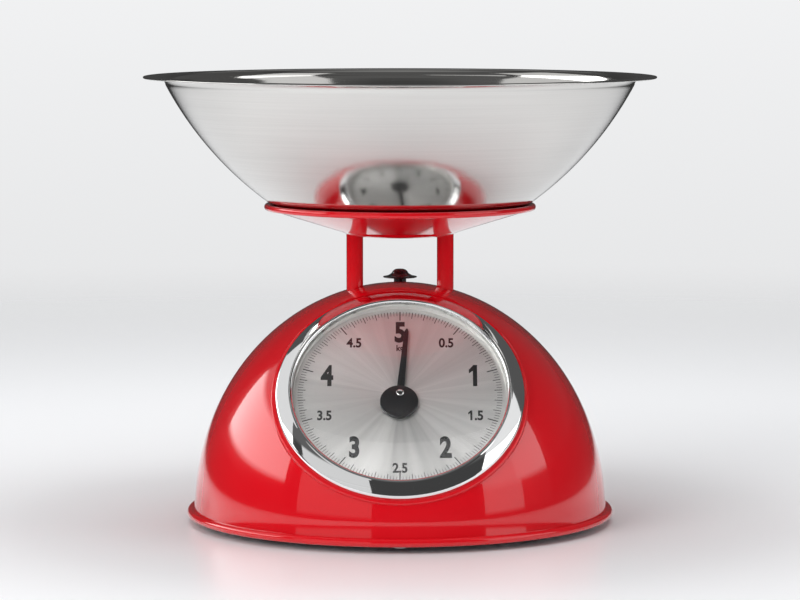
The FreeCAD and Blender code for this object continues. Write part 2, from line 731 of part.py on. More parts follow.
def lean(shape):
    """Turn a pointer piece clockwise, as seen from the front, to its resting angle."""
    shape.rotate(ORIGIN, Z_AXIS, -NEEDLE_LEAN)
    return on_dial(shape)


def pointer_shaft():
    return on_dial(rod(SHAFT_R, (-17.0, 5.0)))


def needle():
    """Slim tapered blade from the middle of the dial to the ring of figures."""
    base = 1.75
    end = 1.0
    corners = [(-base, 3.0), (base, 3.0), (end, NEEDLE_LENGTH - 1.5), (0.35, NEEDLE_LENGTH),
               (-0.35, NEEDLE_LENGTH), (-end, NEEDLE_LENGTH - 1.5)]
    points = [FreeCAD.Vector(x, v, 4.0) for x, v in corners]
    blade = Part.Face(Part.makePolygon(points + points[:1])).extrude(FreeCAD.Vector(0, 0, 0.5))
    return lean(blade.cut(rod(DISC_R, (3, 6), 0, -DISC_OFFSET)))


def counterweight_disc():
    """Round balance disc behind the needle, set off-centre on the shaft."""
    edge = 0.3
    disc = turned(outline((0, 3.6), (DISC_R, 3.6), (DISC_R, 4.9 - edge), (DISC_R - edge, 4.9), (0, 4.9)))
    disc.translate(FreeCAD.Vector(0, -DISC_OFFSET, 0))
    return lean(disc.cut(rod(SHAFT_R, (0, 8))))


def shaft_cap():
    """Small cap pressed over the shaft's end."""
    low, top = 4.9, 5.4
    shaft_end = low + 0.1
    return on_dial(turned(outline(
        (SHAFT_R, low), (1.8, low), (1.8, low + 0.2), ((1.62, top - 0.12), (1.3, top)), (0, top),
        (0, shaft_end), (SHAFT_R, shaft_end))))


# ---------------------------------------------------------------- the assembly

def build():
    """Every node of the scale, by name."""
    frame_pin_half = 35.0
    frame_groove = 32.9
    carriage_pin_half = 31.2
    carriage_groove = 29.4
    frame_heights = list(LEVER_PIN_Z.values())
    nodes = {
        "dome_shell": dome_shell(),
        "dome_lugs": dome_lugs(),
        "base_plate": base_plate(),
        "base_screws": base_screws(),
        "knob_bush": knob_bush(),
        "overload_buffer": overload_buffer(),
        "mechanism_frame": mechanism_frame(),
        "frame_screws": frame_screws(),
        "frame_pin_clips": pin_clips(frame_groove, FRAME_PIN_Y, frame_heights),
        "dial_backplate": dial_backplate(),
        "dial_face": dial_face(),
        "dial_spacer": dial_spacer(),
        "glass_gasket": glass_gasket(),
        "dial_glass": dial_glass(),
        "bezel": bezel(),
        "bezel_nuts": bezel_nuts(),
        "movement_bridge": movement_bridge(),
        "bridge_screws": bridge_screws(),
        "rack_guide_upper": rack_guide(1),
        "rack_guide_lower": rack_guide(-1),
        "shaft_bush_front": shaft_bush(-0.3, 2.6, -0.3, BACKPLATE_UNDER),
        "shaft_bush_rear": shaft_bush(-17.4, -13.6, BRIDGE_W[1], -13.6),
        "load_carriage": load_carriage(),
        "post_screws": post_screws(),
        "load_dish": load_dish(),
        "carriage_pin_clips": pin_clips(carriage_groove, CARRIAGE_PIN_Y, carriage_pin_heights()),
        "drive_arm": drive_arm(),
        "arm_screws": arm_screws(),
        "drive_pin": drive_pin(),
        "bowl": turned(bowl_outline()),
        "upper_lever": guide_lever("upper"),
        "lower_lever": guide_lever("lower"),
        "drive_rack": drive_rack(),
        "pointer_shaft": pointer_shaft(),
        "pinion": pinion(),
        "needle": needle(),
        "counterweight_disc": counterweight_disc(),
        "shaft_cap": shaft_cap(),
        "zero_knob": zero_knob(),
        "zero_screw": zero_screw(),
        "screw_collar": screw_collar(),
        "spring_hanger": spring_hanger(),
    }
    for name, side in (("left", -1), ("right", 1)):
        nodes["post_" + name] = post(side)
        nodes["post_guide_" + name] = post_guide(side)
        nodes["spring_" + name] = spring(side)
        nodes["foot_front_" + name] = rubber_foot(side, -1)
        nodes["foot_rear_" + name] = rubber_foot(side, 1)
    for which, z in LEVER_PIN_Z.items():
        nodes[which + "_frame_pin"] = grooved_pin(frame_pin_half, frame_groove, FRAME_PIN_Y, z)
        nodes[which + "_carriage_pin"] = grooved_pin(carriage_pin_half, carriage_groove, CARRIAGE_PIN_Y,
                                                     z + TRAVEL / 2)
    return nodes


def main():
    os.makedirs("parts", exist_ok=True)
    for name, shape in build().items():
        shape.exportStep("parts/" + name + ".step")


main()
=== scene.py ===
import json
import math

import bmesh
import bpy
from bpy.props import FloatProperty, FloatVectorProperty, IntProperty, PointerProperty
from mathutils import Matrix, Vector


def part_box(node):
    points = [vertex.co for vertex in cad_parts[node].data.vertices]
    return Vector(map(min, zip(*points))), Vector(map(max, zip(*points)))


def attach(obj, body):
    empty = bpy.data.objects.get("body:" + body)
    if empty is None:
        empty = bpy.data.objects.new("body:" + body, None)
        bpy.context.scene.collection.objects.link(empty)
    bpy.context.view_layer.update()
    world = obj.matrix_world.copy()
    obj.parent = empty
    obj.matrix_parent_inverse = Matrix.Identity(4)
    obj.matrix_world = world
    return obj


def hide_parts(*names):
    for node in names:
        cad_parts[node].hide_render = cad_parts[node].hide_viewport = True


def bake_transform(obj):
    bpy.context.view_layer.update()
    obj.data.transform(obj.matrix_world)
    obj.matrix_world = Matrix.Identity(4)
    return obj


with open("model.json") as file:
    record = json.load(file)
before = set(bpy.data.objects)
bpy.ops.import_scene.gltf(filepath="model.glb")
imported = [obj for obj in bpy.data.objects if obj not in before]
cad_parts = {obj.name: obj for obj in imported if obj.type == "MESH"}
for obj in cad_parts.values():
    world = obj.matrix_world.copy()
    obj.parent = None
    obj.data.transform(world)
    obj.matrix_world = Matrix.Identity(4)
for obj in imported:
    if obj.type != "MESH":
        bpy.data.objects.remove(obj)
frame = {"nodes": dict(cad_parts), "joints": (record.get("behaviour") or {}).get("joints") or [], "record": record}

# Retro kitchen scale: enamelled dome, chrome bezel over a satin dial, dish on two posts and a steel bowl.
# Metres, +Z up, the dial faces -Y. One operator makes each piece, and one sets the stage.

bl_info = {
    "name": "Kitchen Scale",
    "version": (1, 0, 0),
    "blender": (4, 5, 0),
    "location": "3D View > Sidebar > Scale",
    "description": "Builds the visible pieces of a retro dial kitchen scale round its CAD frame",
    "category": "Object",
}

# ---------------------------------------------------------------- what the frame gives

FULL_TURN = 2 * math.pi
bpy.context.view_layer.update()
DOME_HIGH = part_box("dome_shell")[1]
BOWL_LOW, BOWL_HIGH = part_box("bowl")
DISH_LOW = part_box("load_dish")[0]
POST_LOW, POST_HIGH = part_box("post_right")
KNOB_LOW, KNOB_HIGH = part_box("zero_knob")
SPRING_LOW, SPRING_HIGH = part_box("spring_right")
JOINTS = {joint["name"]: joint for joint in frame["joints"]}
DIAL_CENTRE = Vector(JOINTS["pointer_turn"]["pos_m"])
DIAL_OUT = -Vector(JOINTS["pointer_turn"]["axis"])
DIAL_PLACE = Matrix.Translation(DIAL_CENTRE) @ Matrix.Rotation(math.acos(DIAL_OUT.z), 4, "X")
FULL_LOAD = 5            # kilograms in one turn of the pointer


# ---------------------------------------------------------------- sizes and colours a user would change

def length(name, description, default):
    return FloatProperty(name=name, description=description, default=default, unit="LENGTH", precision=5)


def colour(name, description, default):
    return FloatVectorProperty(name=name, description=description, default=default, size=3, min=0.0, max=1.0,
                               subtype="COLOR")


def angle(name, description, degrees):
    return FloatProperty(name=name, description=description, default=math.radians(degrees), unit="ROTATION")


def power(name, description, default):
    return FloatProperty(name=name, description=description, default=default, min=0.0, unit="POWER")


class ScaleDome(bpy.types.PropertyGroup):
    radius: length("Radius", "Radius of the dome at its foot, above the rolled edge", 0.099)
    foot: length("Foot height", "Height of the rolled edge's middle", 0.005)
    sheet: length("Sheet", "Thickness of the pressed steel", 0.001)
    roll: length("Roll", "Radius of the rolled edge's section", 0.002)
    collar: length("Collar radius", "Outer radius of the seat for the bezel", 0.060)
    mouth: length("Mouth radius", "Radius of the hole behind the dial", 0.0515)
    seat: length("Seat", "How far the seat stands out from the middle of the dial", 0.0032)


class ScaleDial(bpy.types.PropertyGroup):
    face: length("Face", "Height of the printed face, out from the middle of the dial", 0.0028)
    face_radius: length("Face radius", "Radius of the printed face", 0.0512)
    bezel: length("Bezel radius", "Outer radius of the chrome ring", 0.058)
    window: length("Window radius", "Inner radius of the chrome ring", 0.050)
    glass: length("Glass height", "Lower face of the glass, out from the middle of the dial", 0.0056)
    glass_sheet: length("Glass sheet", "Thickness of the glass at its edge", 0.0018)
    tick_ring: length("Tick ring", "Outer radius of the graduations", 0.0476)
    figure_ring: length("Figure ring", "Radius of the circle that the kilogram figures stand on", 0.0358)
    figure_height: length("Figure height", "Height of the kilogram figures", 0.0120)
    half_height: length("Half figure height", "Height of the half-kilogram figures", 0.0055)
    divisions: IntProperty(name="Divisions", description="Graduations in one turn", default=200, min=50)


class ScalePointer(bpy.types.PropertyGroup):
    reach: length("Reach", "From the shaft to the needle's tip", 0.037)
    width: length("Width", "Width of the needle beside the disc", 0.0035)
    lean: angle("Lean", "Clockwise angle of the needle at rest", 5.0)
    disc: length("Disc radius", "Radius of the balance disc", 0.0089)
    offset: length("Disc offset", "From the shaft to the middle of the balance disc", 0.0047)


class ScaleBowl(bpy.types.PropertyGroup):
    rim: length("Rim radius", "Outer radius of the bowl's rim", BOWL_HIGH.x)
    top: length("Rim height", "Height of the bowl's rim", BOWL_HIGH.z)
    floor: length("Floor radius", "Radius of the flat floor", 0.0513)
    depth: length("Depth", "From the rim down to the underside of the floor", BOWL_HIGH.z - BOWL_LOW.z)
    heel: length("Heel", "Radius of the bend between floor and flank", 0.018)
    sheet: length("Sheet", "Thickness of the stainless steel", 0.0008)


class ScaleDish(bpy.types.PropertyGroup):
    rim: length("Rim radius", "Outer radius of the rolled rim", 0.065)
    rim_height: length("Rim height", "Height of the rolled rim's middle", 0.1516)
    roll: length("Roll", "Radius of the rolled rim's section", 0.0015)
    floor: length("Floor height", "Underside of the dish's middle", DISH_LOW.z)
    slope: angle("Slope", "Angle of the conical flange", 17.2)
    sheet: length("Sheet", "Thickness of the pressed steel", 0.001)


class ScaleColours(bpy.types.PropertyGroup):
    enamel: colour("Enamel", "Dome, dish and posts", (0.66, 0.0018, 0.0085))
    chrome: colour("Chrome", "Bezel", (0.90, 0.905, 0.91))
    stainless: colour("Stainless", "Bowl", (0.71, 0.70, 0.68))
    silver: colour("Silver", "Dial face", (0.77, 0.765, 0.75))
    ink: colour("Ink", "Figures, graduations and needle", (0.010, 0.010, 0.011))
    rubber: colour("Rubber", "Feet, gasket and buffer", (0.018, 0.018, 0.018))
    zinc: colour("Zinc", "Plated mechanism parts", (0.60, 0.62, 0.64))
    brass: colour("Brass", "Bushes, pinion and rack", (0.75, 0.55, 0.24))
    nylon: colour("Nylon", "Guides and spacer", (0.72, 0.72, 0.69))
    floor: colour("Floor", "Table top", (0.90, 0.905, 0.915))


class ScaleStage(bpy.types.PropertyGroup):
    distance: length("Distance", "From the scale's axis to the camera", 1.70)
    eye: length("Eye height", "Height of the camera", 0.269)
    aim: length("Aim height", "Height on the scale's axis that the camera looks at", 0.1065)
    lens: FloatProperty(name="Lens", description="Focal length on a 36 mm wide sensor, in millimetres",
                        default=160.0, min=20.0)
    key: power("Key light", "Softbox at the front left", 13.0)
    side: power("Side light", "Softbox at the right", 2.8)
    top: power("Top light", "Softbox overhead", 11.0)


# ---------------------------------------------------------------- outlines

def arc(start, through, end, steps=12):
    """Points on the arc through three points, without the first one."""
    (ax, ay), (bx, by), (cx, cy) = start, through, end
    scale = 2 * (ax * (by - cy) + bx * (cy - ay) + cx * (ay - by))
    a2, b2, c2 = ax * ax + ay * ay, bx * bx + by * by, cx * cx + cy * cy
    mx = (a2 * (by - cy) + b2 * (cy - ay) + c2 * (ay - by)) / scale
    my = (a2 * (cx - bx) + b2 * (ax - cx) + c2 * (bx - ax)) / scale
    first = math.atan2(ay - my, ax - mx)
    middle = (math.atan2(by - my, bx - mx) - first) % FULL_TURN
    sweep = (math.atan2(cy - my, cx - mx) - first) % FULL_TURN
    if middle > sweep:
        sweep -= FULL_TURN
    radius = math.hypot(ax - mx, ay - my)
    angles = [first + sweep * i / steps for i in range(1, steps + 1)]
    return [(mx + radius * math.cos(a), my + radius * math.sin(a)) for a in angles]


def circle_part(middle, radius, first, last, steps):
    """Points on a circle between two angles in degrees, ends included."""
    angles = [math.radians(first + (last - first) * i / steps) for i in range(steps + 1)]
    return [(middle[0] + radius * math.cos(a), middle[1] + radius * math.sin(a)) for a in angles]


def line(start, end, steps):
    """Evenly spaced points after the first one, up to the end of a straight stretch."""
    return [(start[0] + (end[0] - start[0]) * i / steps, start[1] + (end[1] - start[1]) * i / steps)
            for i in range(1, steps + 1)]


def path(start, *stretches):
    """One list of points from a start, lines (a point) and arcs (a through point, an end and steps)."""
    points = [start]
    for stretch in stretches:
        if isinstance(stretch[0], tuple):
            points += arc(points[-1], *stretch)
        else:
            points.append(stretch)
    return points


# ---------------------------------------------------------------- meshes

def add_object(name, data):
    made = bpy.data.objects.new(name, data)
    bpy.context.scene.collection.objects.link(made)
    return made


def finish_mesh(shape, name, place=None, sharp=35.0, normals=True):
    """Turn a bmesh into a smooth, closed piece with its place in its mesh."""
    if normals:
        bmesh.ops.recalc_face_normals(shape, faces=shape.faces)
    if place is not None:
        bmesh.ops.transform(shape, matrix=place, verts=shape.verts)
    mesh = bpy.data.meshes.new(name)
    shape.to_mesh(mesh)
    shape.free()
    mesh.shade_smooth()
    mesh.set_sharp_from_angle(angle=math.radians(sharp))
    return add_object(name, mesh)


def lathe(outline, turns=192, closed=False):
    """Spin an outline of (radius, height) points about Z into a bmesh, with a UV map round the turn.

    A closed outline is a ring's section. An open one starts and ends on the axis.
    """
    shape = bmesh.new()
    along = shape.verts.layers.float.new("along")
    verts = []
    travelled = 0.0
    for index, (radius, height) in enumerate(outline):
        vert = shape.verts.new((radius, 0.0, height))
        if index:
            travelled += (vert.co - verts[-1].co).length
        vert[along] = travelled
        verts.append(vert)
    pairs = list(zip(verts, verts[1:]))
    if closed:
        pairs.append((verts[-1], verts[0]))
    edges = [shape.edges.new(pair) for pair in pairs]
    bmesh.ops.spin(shape, geom=verts + edges, cent=(0, 0, 0), axis=(0, 0, 1), dvec=(0, 0, 0),
                   angle=FULL_TURN, steps=turns, use_merge=True, use_normal_flip=False, use_duplicate=False)
    bmesh.ops.remove_doubles(shape, verts=shape.verts, dist=1e-7)
    layer = shape.loops.layers.uv.new("turn")
    for face in shape.faces:
        middle = face.calc_center_median()
        centre_turn = math.atan2(middle.y, middle.x) / FULL_TURN
        for loop in face.loops:
            co = loop.vert.co
            turn = centre_turn
            if math.hypot(co.x, co.y) > 1e-6:
                turn = math.atan2(co.y, co.x) / FULL_TURN
                turn += round(centre_turn - turn)
            loop[layer].uv = (turn, loop.vert[along])
    return shape


def solid_from_section(corners, low, high):
    """Extrude a flat outline of (x, y) corners between two heights."""
    shape = bmesh.new()
    face = shape.faces.new([shape.verts.new((x, y, low)) for x, y in corners])
    grown = bmesh.ops.extrude_face_region(shape, geom=[face])
    verts = [item for item in grown["geom"] if isinstance(item, bmesh.types.BMVert)]
    bmesh.ops.translate(shape, vec=(0, 0, high - low), verts=verts)
    return shape


def cutter(name, radius, low, high, place, turns=192):
    """A plain cylinder that cuts another piece and is then removed."""
    shape = bmesh.new()
    bmesh.ops.create_cone(shape, cap_ends=True, cap_tris=False, segments=turns, radius1=radius,
                          radius2=radius, depth=high - low)
    bmesh.ops.translate(shape, vec=(0, 0, (high + low) / 2), verts=shape.verts)
    return finish_mesh(shape, name, place)


def shown_mesh(holder):
    """A new mesh of what an object shows, with its modifiers or its curve's thickness in it."""
    bpy.context.view_layer.update()
    return bpy.data.meshes.new_from_object(holder.evaluated_get(bpy.context.evaluated_depsgraph_get()))


def solid_of(curve):
    """The mesh of a thick curve or of a text."""
    holder = add_object("line", curve)
    mesh = shown_mesh(holder)
    bpy.data.objects.remove(holder)
    return mesh


def combine(piece, other, operation):
    """Cut or join a piece with another one, which is then removed."""
    modifier = piece.modifiers.new(operation.title(), "BOOLEAN")
    modifier.operation = operation
    modifier.object = other
    modifier.solver = "EXACT"
    result = shown_mesh(piece)
    if not result.polygons:
        raise RuntimeError(f"{piece.name} is empty after {operation} with {other.name}")
    piece.modifiers.clear()
    piece.data = result
    bpy.data.objects.remove(other)


def dress(piece, slot, *nodes, look=None):
    """Give a piece the finish of its material slot, or of the look asked for, and hide the CAD nodes that it
    stands for.
    """
    if not piece.data.polygons:
        raise RuntimeError(f"{piece.name} has no faces")
    piece.data.materials.clear()
    piece.data.materials.append(finish(look or slot))
    if nodes:
        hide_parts(*nodes)


def set_on(piece, body, slot, *nodes, look=None):
    """Dress a piece that rides on one body."""
    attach(piece, body)
    dress(piece, slot, *nodes, look=look)


# ---------------------------------------------------------------- shader helpers

def node(tree, kind, inputs=None, **settings):
    """Add a shader node, set its fields, and set or link its inputs by name or index."""
    made = tree.nodes.new("ShaderNode" + kind)
    for key, value in settings.items():
        setattr(made, key, value)
    for key, value in (inputs or {}).items():
        if isinstance(value, bpy.types.NodeSocket):
            tree.links.new(value, made.inputs[key])
        else:
            made.inputs[key].default_value = value
    return made


def maths(tree, operation, first, second=0.0):
    return node(tree, "Math", {0: first, 1: second}, operation=operation).outputs[0]


def ranged(tree, value, low, high, at_low=0.0, at_high=1.0, kind="LINEAR"):
    """A value carried from one range to another and held at both ends."""
    limits = {"Value": value, "From Min": low, "From Max": high, "To Min": at_low, "To Max": at_high}
    return node(tree, "MapRange", limits, interpolation_type=kind).outputs[0]


def noise(tree, vector, scale, detail, roughness=0.5):
    return node(tree, "TexNoise", {"Vector": vector, "Scale": scale, "Detail": detail,
                                             "Roughness": roughness}).outputs[0]


def levels(tree, share, stops, kind):
    """Grey levels that change with a share from 0 to 1. The first stop is at 0."""
    made = node(tree, "ValToRGB", {"Fac": share})
    ramp = made.color_ramp
    ramp.interpolation = kind
    ramp.elements.remove(ramp.elements[1])
    for index, (place, level) in enumerate(stops):
        stop = ramp.elements.new(place) if index else ramp.elements[0]
        stop.color = (level, level, level, 1.0)
    return made.outputs[0]


FLOAT, VECTOR = "NodeSocketFloat", "NodeSocketVector"


def new_group(name, inputs, outputs):
    """A shader node group with a vector and float sockets, and its two end nodes."""
    tree = bpy.data.node_groups.new(name, "ShaderNodeTree")
    tree.interface.new_socket(name="Vector", in_out="INPUT", socket_type=VECTOR)
    for label, default in inputs:
        tree.interface.new_socket(name=label, in_out="INPUT", socket_type=FLOAT).default_value = default
    for label in outputs:
        tree.interface.new_socket(name=label, in_out="OUTPUT", socket_type=FLOAT)
    return tree, tree.nodes.new("NodeGroupInput").outputs, tree.nodes.new("NodeGroupOutput").inputs


def handled_surface_group():
    """Smudges and wipe marks: a value between Low and High in soft clouds."""
    limits = [("Scale", 30.0), ("Low", 0.1), ("High", 0.2)]
    tree, given, result = new_group("handled_surface", limits, ["Value"])
    cloud = noise(tree, given["Vector"], given["Scale"], 5.0, 0.6)
    value = ranged(tree, cloud, 0.35, 0.65, given["Low"], given["High"], "SMOOTHSTEP")
    tree.links.new(value, result["Value"])
    return tree


def fine_peel_group():
    """The fine ripple of sprayed, stoved or moulded surfaces."""
    tree, given, result = new_group("fine_peel", [("Scale", 600.0)], ["Height"])
    tree.links.new(noise(tree, given["Vector"], given["Scale"], 2.0, 0.45), result["Height"])
    return tree


def turned_grain_group():
    """Lines left by turning or spinning. Its vector is the "turn" UV map."""
    tree, given, result = new_group("turned_grain", [("Across", 900.0), ("Around", 6.0)], ["Height", "Tone"])
    parts = node(tree, "SeparateXYZ", {0: given["Vector"]}).outputs
    turn = maths(tree, "MULTIPLY", parts["X"], FULL_TURN)
    spun = node(tree, "CombineXYZ", {
        "X": maths(tree, "MULTIPLY", maths(tree, "COSINE", turn), given["Around"]),
        "Y": maths(tree, "MULTIPLY", maths(tree, "SINE", turn), given["Around"]),
        "Z": maths(tree, "MULTIPLY", parts["Y"], given["Across"])}).outputs[0]
    tree.links.new(noise(tree, spun, 1.0, 3.0, 0.7), result["Height"])
    tree.links.new(noise(tree, spun, 0.23, 2.0), result["Tone"])
    return tree


# Painted shade and highlight of the dial: light and dark wedges that stand in for the sheen of its brushed metal,
# as a tone by share of a turn from 3 o'clock through 12.
PAINTED_SHADE_WEDGES = ((0.0, 0.70), (0.12, 0.62), (0.25, 0.52), (0.38, 0.62), (0.52, 0.68), (0.70, 0.60), (0.735, 0.30),
           (0.80, 0.30), (0.88, 0.55), (1.0, 0.70))


def rays_and_painted_shade_group():
    """Painted shade and highlight in broad wedges, mixed with fine rays of tone that run out from the middle. Its
    vector is the "turn" UV map.
    """
    tree, given, result = new_group("rays_and_painted_shade", [("Fine", 9.0)], ["Tone"])
    share = node(tree, "SeparateXYZ", {0: given["Vector"]}).outputs["X"]
    turn = maths(tree, "MULTIPLY", share, FULL_TURN)
    spot = node(tree, "CombineXYZ", {"X": maths(tree, "COSINE", turn),
                                               "Y": maths(tree, "SINE", turn)}).outputs[0]
    painted_wedges = levels(tree, maths(tree, "FRACT", maths(tree, "ADD", share, 1.0)), PAINTED_SHADE_WEDGES, "EASE")
    rays = noise(tree, spot, given["Fine"], 4.0)
    blend = node(tree, "Mix", {"Factor": 0.25, "A": painted_wedges, "B": rays})
    tree.links.new(blend.outputs[0], result["Tone"])
    return tree


def dust_specks_group():
    """Sparse specks in patches."""
    tree, given, result = new_group("dust_specks", [("Scale", 900.0), ("Amount", 0.1)], ["Mask"])
    cells = node(tree, "TexVoronoi", {"Vector": given["Vector"], "Scale": given["Scale"]})
    speck = ranged(tree, cells.outputs["Distance"], 0.03, 0.10, 1.0, 0.0)
    few = ranged(tree, noise(tree, given["Vector"], 45.0, 3.0), 0.52, 0.70, 0.0, given["Amount"])
    tree.links.new(maths(tree, "MULTIPLY", speck, few), result["Mask"])
    return tree


def build_groups():
    """The effects that several finishes share."""
    return {"handled": handled_surface_group(), "peel": fine_peel_group(), "grain": turned_grain_group(),
            "painted_wedge_shade": rays_and_painted_shade_group(), "dust": dust_specks_group()}


# ---------------------------------------------------------------- finishes

class FinishTree:
    """A material with one Principled BSDF whose plain values are set on its own sockets."""

    def __init__(self, name, shader, groups=None):
        self.material = bpy.data.materials.new(name)
        self.material.use_nodes = True
        self.tree = self.material.node_tree
        self.tree.nodes.clear()
        self.groups = groups
        self.surface = node(self.tree, "BsdfPrincipled", shader)
        self.output = node(self.tree, "OutputMaterial", {"Surface": self.surface.outputs[0]})
        self.where = node(self.tree, "TexCoord").outputs["Object"]

    def link(self, value, name):
        self.tree.links.new(value, self.surface.inputs[name])

    def effect(self, group, **inputs):
        """The outputs of a shared effect."""
        return node(self.tree, "Group", inputs, node_tree=self.groups[group]).outputs

    def smudges(self, scale, low, high):
        return self.effect("handled", Vector=self.where, Scale=scale, Low=low, High=high)["Value"]

    def rough(self, scale, low, high):
        """Roughness that wanders between two values, given back for other uses."""
        value = self.smudges(scale, low, high)
        self.link(value, "Roughness")
        return value

    def tint(self, base, other, mask):
        """Base colour that shifts between two colours by a mask."""
        ends = {"Factor": mask, "A": (*base, 1.0), "B": (*other, 1.0)}
        self.link(node(self.tree, "Mix", ends, data_type="RGBA").outputs["Result"], "Base Color")

    def bump(self, height, strength, distance):
        relief = {"Height": height, "Strength": strength, "Distance": distance}
        self.link(node(self.tree, "Bump", relief).outputs[0], "Normal")

    def peel(self, scale, strength, distance):
        self.bump(self.effect("peel", Vector=self.where, Scale=scale)["Height"], strength, distance)

    def cover(self, factor, other):
        """Show a mix of the surface and another shader."""
        mix = node(self.tree, "MixShader", {0: factor, 1: self.surface.outputs[0], 2: other.outputs[0]})
        self.tree.links.new(mix.outputs[0], self.output.inputs["Surface"])


def scaled(base, factor):
    return tuple(min(1.0, channel * factor) for channel in base)


def enamel_finish(groups, base):
    """Deep gloss enamel: faint orange peel, a clear coat and a few dust specks."""
    made = FinishTree("red_enamel_gloss", {"IOR": 1.5, "Specular IOR Level": 0.15, "Coat Weight": 1.0,
                                           "Coat Roughness": 0.025, "Coat IOR": 1.5}, groups)
    made.rough(18.0, 0.16, 0.24)
    made.peel(420.0, 0.05, 0.0004)
    dust = made.effect("dust", Vector=made.where, Scale=700.0, Amount=0.25)["Mask"]
    made.tint(base, (0.55, 0.30, 0.28), dust)
    return made.material


def chrome_finish(groups, base):
    made = FinishTree("bright_chrome", {"Base Color": (*base, 1.0), "Metallic": 1.0}, groups)
    made.rough(60.0, 0.02, 0.055)
    return made.material


def turned_metal(name, groups, base, rough, grain, depth, anisotropy, streak, darkest, metallic=1.0,
                 paint_shade_wedges=False):
    """Metal with grain round the turn, for pieces that carry the "turn" UV map.

    Rough is the lowest and highest roughness. Grain is how fine its lines are across and around. With painted
    shade wedges, the tone is painted light and dark wedges of sheen, mixed with fine rays.
    """
    made = FinishTree(name, {"Metallic": metallic, "Anisotropic": anisotropy}, groups)
    turn = node(made.tree, "UVMap", uv_map="turn").outputs[0]
    lines = made.effect("grain", Vector=turn, Across=grain[0], Around=grain[1])
    streaks = ranged(made.tree, lines["Tone"], 0.3, 0.7, 1.0 - streak, 1.0 + streak)
    made.link(maths(made.tree, "MULTIPLY", made.smudges(25.0, *rough), streaks), "Roughness")
    tone = lines["Tone"]
    # Painted shade and highlight: the dial's tone becomes light and dark wedges of sheen, mixed with fine rays.
    if paint_shade_wedges:
        tone = ranged(made.tree, made.effect("painted_wedge_shade", Vector=turn, Fine=9.0)["Tone"], 0.3, 0.72)
    made.tint(scaled(base, darkest), base, tone)
    made.bump(lines["Height"], depth, 0.00008)
    direction = node(made.tree, "Tangent", direction_type="UV_MAP", uv_map="turn")
    made.link(direction.outputs[0], "Tangent")
    return made.material


def glass_finish():
    """Clear cover glass that lets light through to the dial."""
    made = FinishTree("clear_glass", {"Base Color": (1.0, 1.0, 1.0, 1.0), "Roughness": 0.0, "IOR": 1.3,
                                      "Transmission Weight": 1.0})
    shadow = node(made.tree, "LightPath").outputs["Is Shadow Ray"]
    made.cover(shadow, node(made.tree, "BsdfTransparent", {"Color": (0.97, 0.98, 0.98, 1.0)}))
    return made.material


def plain_finish(name, groups, base, low, high, metallic=0.0, peel=0.08, tint=0.9, coat=0.0):
    """Moulded, painted or plated finish with fine texture and slight changes in tone and gloss."""
    made = FinishTree(name, {"Metallic": metallic, "Coat Weight": coat, "Coat Roughness": 0.08}, groups)
    share = ranged(made.tree, made.rough(40.0, low, high), low, high)
    made.tint(base, scaled(base, tint), share)
    made.peel(900.0, peel, 0.0002)
    return made.material


def zinc_finish(groups, base):
    """Bright zinc plate on rolled sheet, with a faint crystal pattern."""
    made = FinishTree("zinc_plate", {"Metallic": 1.0}, groups)
    made.rough(55.0, 0.28, 0.42)
    cells = node(made.tree, "TexVoronoi", {"Vector": made.where, "Scale": 160.0})
    tone = node(made.tree, "SeparateColor", {0: cells.outputs["Color"]})
    made.tint(base, scaled(base, 0.82), tone.outputs[0])
    made.peel(1400.0, 0.12, 0.0001)
    return made.material


def all_finishes(colours):
    """Every finish of the scale by its name."""
    groups = build_groups()

    def plain(name, base, low, high, **looks):
        return plain_finish(name, groups, base, low, high, **looks)

    return {
        "red_enamel": enamel_finish(groups, colours.enamel),
        "chrome": chrome_finish(groups, colours.chrome),
        "stainless": turned_metal("spun_stainless", groups, colours.stainless, (0.075, 0.115), (5200.0, 5.0),
                                  depth=0.08, anisotropy=0.4, streak=0.2, darkest=0.86),
        # The dial's colour has painted shade and highlight in wedges round its middle.
        "dial_silver": turned_metal("satin_dial", groups, colours.silver, (0.30, 0.33), (6500.0, 1.0),
                                    depth=0.006, anisotropy=0.8, streak=0.03, darkest=0.45, metallic=0.7,
                                    paint_shade_wedges=True),
        "clear_glass": glass_finish(),
        "ink": plain("printed_ink", colours.ink, 0.35, 0.5, peel=0.03),
        "pointer_black": plain("satin_black_paint", colours.ink, 0.28, 0.4, peel=0.06, coat=0.2),
        "black_plastic": plain("gloss_black_plastic", (0.012, 0.012, 0.013), 0.12, 0.24, peel=0.05, coat=0.3),
        "black_rubber": plain("black_rubber", colours.rubber, 0.55, 0.8, peel=0.3, tint=1.4),
        "nylon": plain("moulded_nylon", colours.nylon, 0.3, 0.45),
        "brass": plain("machined_brass", colours.brass, 0.2, 0.34, metallic=1.0, peel=0.1, tint=0.8),
        "spring_steel": plain("drawn_spring_wire", (0.42, 0.42, 0.43), 0.22, 0.36, metallic=1.0, peel=0.1,
                              tint=0.75),
        "zinc_steel": zinc_finish(groups, colours.zinc),
    }


FINISHES = {}


def finish(name):
    """A finish by name, made with all the others the first time one is asked for."""
    if not FINISHES:
        FINISHES.update(all_finishes(bpy.context.scene.scale_colours))
    return FINISHES[name]


# ---------------------------------------------------------------- operators

class ScaleOperator:
    """What every operator of the scale shares."""
    bl_options = {"REGISTER", "UNDO"}

    def execute(self, context):
        self.make(context.scene)
        return {"FINISHED"}


